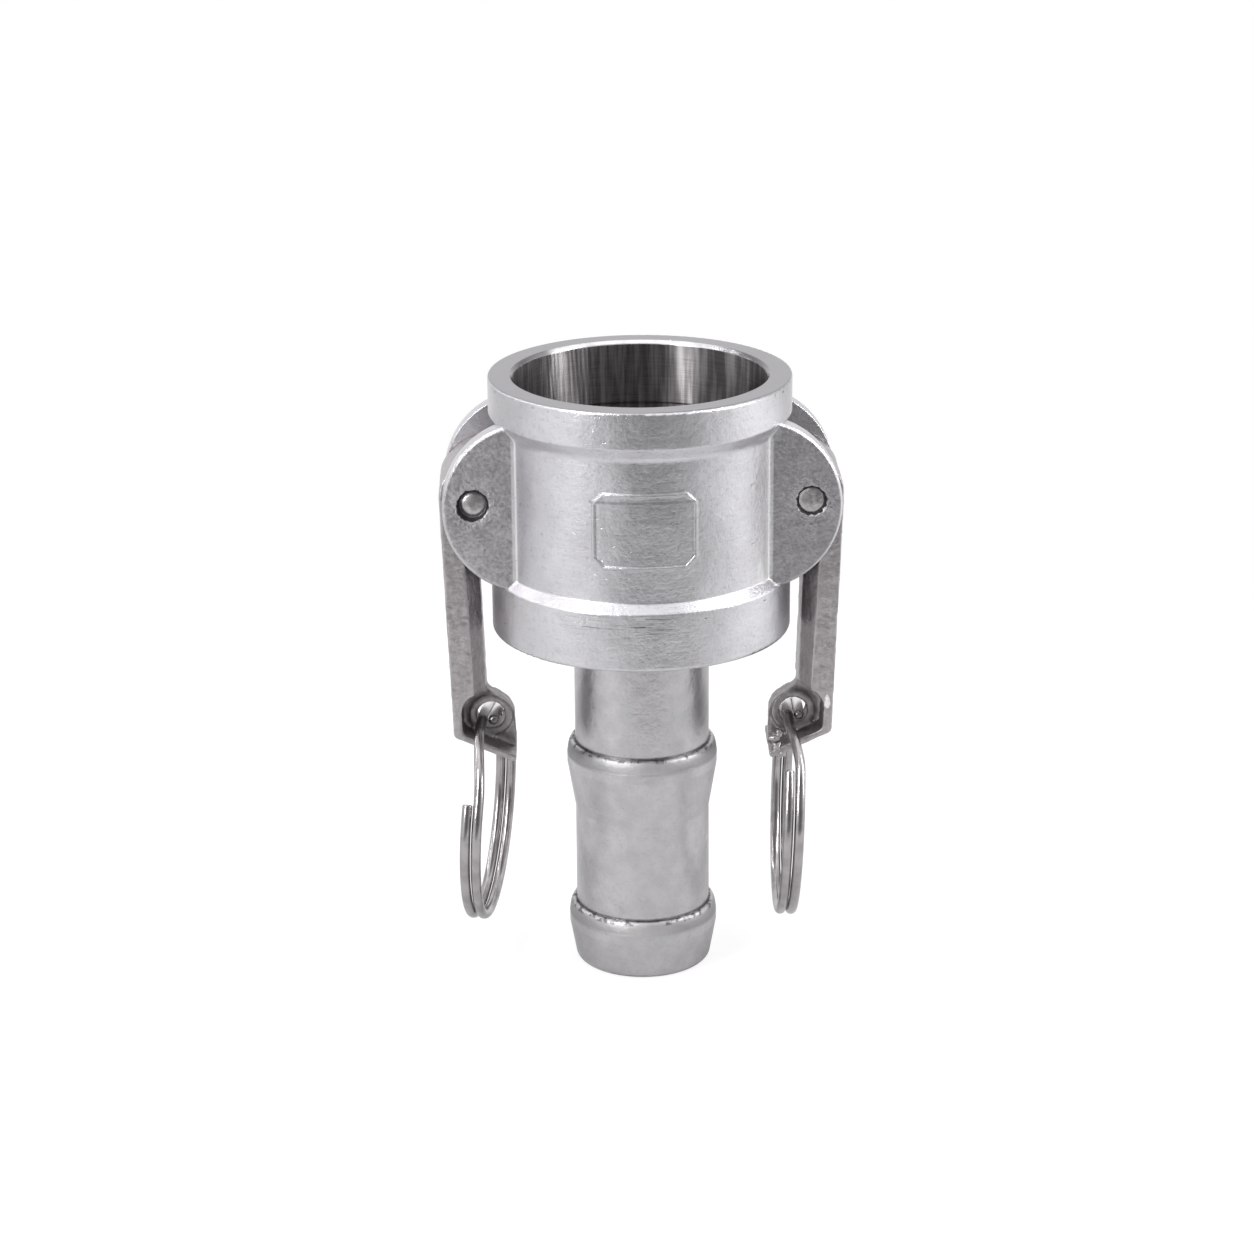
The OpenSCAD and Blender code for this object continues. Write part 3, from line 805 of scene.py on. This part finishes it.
def wind_wire(name, side, body, node, start, twist, lean):
    shape = bmesh.new()
    loops = []
    for share, radius in wire_stations(start):
        centre, along = ring_point(start, share)
        out = Vector((0, centre.y, centre.z + RING_R)).normalized()
        across = along.cross(out).normalized()
        out = across.cross(along)
        loop = []
        for i in range(SIDES_ROUND):
            b = 2 * math.pi * i / SIDES_ROUND
            round_wire = math.cos(b) * out + math.sin(b) * across
            loop.append(shape.verts.new((centre + radius * round_wire) * MM))
        loops.append(loop)
    sew(shape, loops)
    cap(shape, loops)
    bmesh.ops.recalc_face_normals(shape, faces=shape.faces)
    mesh = mesh_from(shape, name)
    leaned = Matrix.Rotation(math.radians(lean), 4, "Y")
    mesh.transform(Matrix.Rotation(math.radians(twist), 4, "Z") @ leaned)
    mesh.transform(Matrix.Translation(Vector((side * HOLE_X, 0, HOLE_Z)) * MM))
    ring = add_to_scene(name, mesh)
    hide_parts(node)
    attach(ring, body)
    print(name, len(mesh.polygons), "faces")
    return ring


left_wire = wind_wire("left_wire", -1, "left_ring", "left_pull_ring", **LEFT_RING)
right_wire = wind_wire("right_wire", 1, "right_ring", "right_pull_ring", **RIGHT_RING)

# %% [markdown]
# ## The polish of the wire
#
# Hard-drawn wire is nearly a mirror with faint lines along it. Where it lies in the arm's hole it
# carries a painted highlight and is rougher, and just in front of the hole it carries painted shade
# and is rougher too. Both places are found from the height and from how far the point lies before
# or behind the arm.

# %% Polish the wire
WIRE_TONES = (0.36, 0.34, 0.345), (0.47, 0.45, 0.455)
# a painted highlight for the wire in the arm's hole
WIRE_HIGHLIGHT = (0.93, 0.91, 0.915)


def wire_steel():
    material, g = new_finish("ring_wire_steel")
    at = g.place()
    x, y, z = g.split(at)
    drawn = g.noise(at, 3.0, 2.0)
    normal = g.bump(drawn * 0.002 + g.noise(at, 0.7, 2.0) * 0.007)
    # painted highlight on the wire in the arm's hole, and painted shade just in front of it
    up_in_hole = (z - HOLE_Z).step(-3.2, -2.6)
    painted_highlight = y.between(-2.6, 2.6, 0.4) * up_in_hole
    painted_shade = y.between(-5.6, -3.0, 0.4) * up_in_hole
    tone = g.mix(g.noise(at, 0.5).step(-0.2, 0.2), *WIRE_TONES)
    tone = g.mix(painted_shade * 0.8, g.mix(painted_highlight, tone, WIRE_HIGHLIGHT), PAINTED_SHADE_TONE)
    g.finish(g.steel(tone, drawn * 0.08 + painted_highlight * 0.2 + painted_shade * 0.15 + 0.18, normal))
    return material


wire_finish = wire_steel()
for ring in (left_wire, right_wire):
    ring.data.materials.append(wire_finish)

# %% [markdown]
# ## The pins and the gasket
#
# The solids of the pins and the gasket are plain, with sharp flat ends. The real pins were cut from
# bar and hammered until they held, so their ends are domed and dented. The real gasket is moulded,
# with rounded edges. Both are round, so a profile turned about an axis is all that they need.


# %% Turn profiles into pieces
def turned_piece(name, profile, sides, dent, seed):
    """A closed ring or rod from (radius, height) points in millimetres, about the Z axis."""
    shape = bmesh.new()
    drift = Vector((seed, 0, 0))
    loops = []
    for radius, height in profile:
        loop = []
        for i in range(sides):
            a = 2 * math.pi * i / sides
            at = Vector((radius * math.cos(a), radius * math.sin(a), height))
            dented = dent * (0.5 + 0.5 * noise.noise(at * 0.9 + drift))
            at.z -= dented * (1 if height > 0 else -1)
            loop.append(shape.verts.new(at * MM))
        loops.append(loop)
    sew(shape, loops)
    if profile[0] == profile[-1]:
        for first, last in zip(loops[0], loops[-1]):
            bmesh.ops.pointmerge(shape, verts=[first, last], merge_co=first.co)
    else:
        cap(shape, loops)
    bmesh.ops.recalc_face_normals(shape, faces=shape.faces)
    return add_to_scene(name, mesh_from(shape, name))


# %% Dome the pins
PIN_HALF, PIN_EDGE, PIN_DENT = 8.5, 0.18, 0.05  # millimetres


def domed_pin(name, side, node, crown, seed):
    rim = PIN_HALF - crown
    upper = [(PIN_R, rim)]
    upper += [(PIN_R - PIN_EDGE * (1 - math.cos(t)), rim + PIN_EDGE * math.sin(t))
              for t in (0.5, 1.0, 1.4)]
    upper += [(PIN_R * share, PIN_HALF - (crown - PIN_EDGE) * share ** 2.4)
              for share in (0.82, 0.68, 0.5, 0.3, 0.12, 0.01)]
    profile = [(r, -h) for r, h in reversed(upper)] + upper
    pin = turned_piece(name, profile, 48, PIN_DENT, seed)
    lying = Matrix.Rotation(math.pi / 2, 4, "X")
    pin.data.transform(Matrix.Translation(Vector((side * PIN_X, 0, PIN_Z)) * MM) @ lying)
    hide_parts(node)
    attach(pin, "coupler")
    print(name, len(pin.data.polygons), "faces")
    return pin


left_pin = domed_pin("left_pin", -1, "left_pivot_pin", 0.55, 3.0)
right_pin = domed_pin("right_pin", 1, "right_pivot_pin", 0.35, 8.0)

# %% Mould the gasket
GASKET_WIDE, GASKET_EDGE = 6.35, 0.6  # millimetres


def moulded_gasket():
    low, high = [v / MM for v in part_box("gasket")]
    outer, bottom, top = high.x, low.z, high.z
    inner, edge = outer - GASKET_WIDE, GASKET_EDGE
    corners = [(outer - edge, top - edge, 0.0), (inner + edge, top - edge, 90.0),
               (inner + edge, bottom + edge, 180.0), (outer - edge, bottom + edge, 270.0)]
    profile = []
    for r, h, start in corners:
        for k in range(7):
            t = math.radians(start + 90 * k / 6)
            profile.append((r + edge * math.cos(t), h + edge * math.sin(t)))
    ring = turned_piece("moulded_gasket", profile + profile[:1], 128, 0.0, 0)
    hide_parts("gasket")
    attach(ring, "coupler")
    print("gasket is %.1f mm across and %.1f mm thick" % (2 * outer, top - bottom))
    return ring


soft_ring = moulded_gasket()

# %% Give the pins and the gasket their finish
PIN_TONES = (0.40, 0.385, 0.39), (0.62, 0.60, 0.61)
RUBBER_TONES = (0.018, 0.018, 0.02), (0.05, 0.05, 0.052)


def pin_end_steel():
    material, g = new_finish("pin_steel_ends")
    at = g.place()
    dents = g.noise(at, 1.2, 3.0, 0.6)
    normal = g.bump(dents * 0.1 + g.noise(at, 4.0, 2.0) * 0.02)
    tone = g.mix(dents.step(-0.2, 0.2), *PIN_TONES)
    g.finish(g.steel(tone, dents * 0.2 + 0.36, normal))
    return material


def black_rubber():
    material, g = new_finish("gasket_black_rubber")
    at = g.place()
    bloom = g.noise(at, 0.4, 3.0)
    normal = g.bump(g.noise(at, 3.0, 3.0) * 0.02)
    tone = g.mix(bloom.step(-0.2, 0.3), *RUBBER_TONES)
    g.finish(g.steel(tone, bloom * 0.2 + 0.55, normal, Metallic=0.0))
    return material


pin_finish = pin_end_steel()
for pin in (left_pin, right_pin):
    pin.data.materials.append(pin_finish)
soft_ring.data.materials.append(black_rubber())

# %% [markdown]
# ## The crowns of the barbs
#
# The solid has a straight slope above each barb, which shows as one wide bright band. The real
# shoulders are nearly flat ledges that roll over into the barb, with a dark groove at the foot of
# the shank and a thin polished rim. Two slim rings with that profile lie on the slopes, and the
# finish of the body covers both without a seam.

# %% Roll the crowns over the barbs
# radius, and height above the crown's top
CROWN = [(8.7, 0.02), (9.0, -0.02), (9.15, 0.04), (9.33, 0.0), (9.5, -0.15), (9.62, -0.35),
         (9.72, -0.6), (9.8, -0.9), (9.86, -1.25), (9.9, -1.6), (9.905, -1.9), (9.8, -2.2),
         (8.6, -2.2)]
CROWN_SIDES, CROWN_WAVE = 192, 0.05


def barb_crown(name, top, wider):
    profile = [(r + wider * (r > 9.0), top + h) for r, h in CROWN]
    ring = turned_piece(name, profile + profile[:1], CROWN_SIDES, 0.0, 0)
    for vertex in ring.data.vertices:
        at = vertex.co / MM
        vertex.co.z += CROWN_WAVE * MM * noise.noise(Vector((at.x * 0.9, at.y * 0.9, top)))
    ring.data.materials.append(body_finish)
    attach(ring, "coupler")
    print(name, len(ring.data.polygons), "faces")
    return ring


barb_crown("upper_barb_crown", UPPER_BARB_Z, 0.0)
barb_crown("lower_barb_crown", LOWER_BARB_Z, -0.085)

# %% [markdown]
# ## Flaws of the casting
#
# One thing that makes a casting look real is that it isn't perfect. The right arm has a lump of
# metal at the inner corner of its foot, where the mould was chipped, and a raised nick on its outer
# rim. Both are small heaps of deformed balls that sink into the arm.

# %% Add the flaws of the right arm
# the middle and the radius of each ball, in millimetres
FOOT_LUMP = [(17.2, -4.3, 32.4, 0.75), (17.5, -4.5, 31.2, 0.7),
             (18.2, -4.4, 30.3, 0.65), (17.9, -4.4, 33.0, 0.55)]
RIM_NICK = [(24.0, -4.75, 37.9, 0.42), (24.1, -4.75, 37.3, 0.36)]


def flaw(name, spots, seed):
    shape = bmesh.new()
    drift = Vector((seed, 0, 0))
    for x, y, z, size in spots:
        at = Vector((x, y, z))
        made = bmesh.ops.create_icosphere(shape, subdivisions=4, radius=1.0)
        for vertex in made["verts"]:
            bulge = 1 + 0.35 * noise.noise(vertex.co * 1.6 + at + drift)
            vertex.co = (at + vertex.co * size * bulge) * MM
    heap = add_to_scene(name, mesh_from(shape, name))
    heap.data.materials.append(arm_finish)
    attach(heap, "right_arm")
    print(name, len(heap.data.polygons), "faces")
    return heap


flaw("foot_lump", FOOT_LUMP, 1)
flaw("rim_nick", RIM_NICK, 5)

# %% [markdown] ## The picture  The plain Standard view shows each grey as it was written, where a
# filmic one would soften the whites.

# %% Finish the picture
bpy.context.scene.view_settings.view_transform = "Standard"
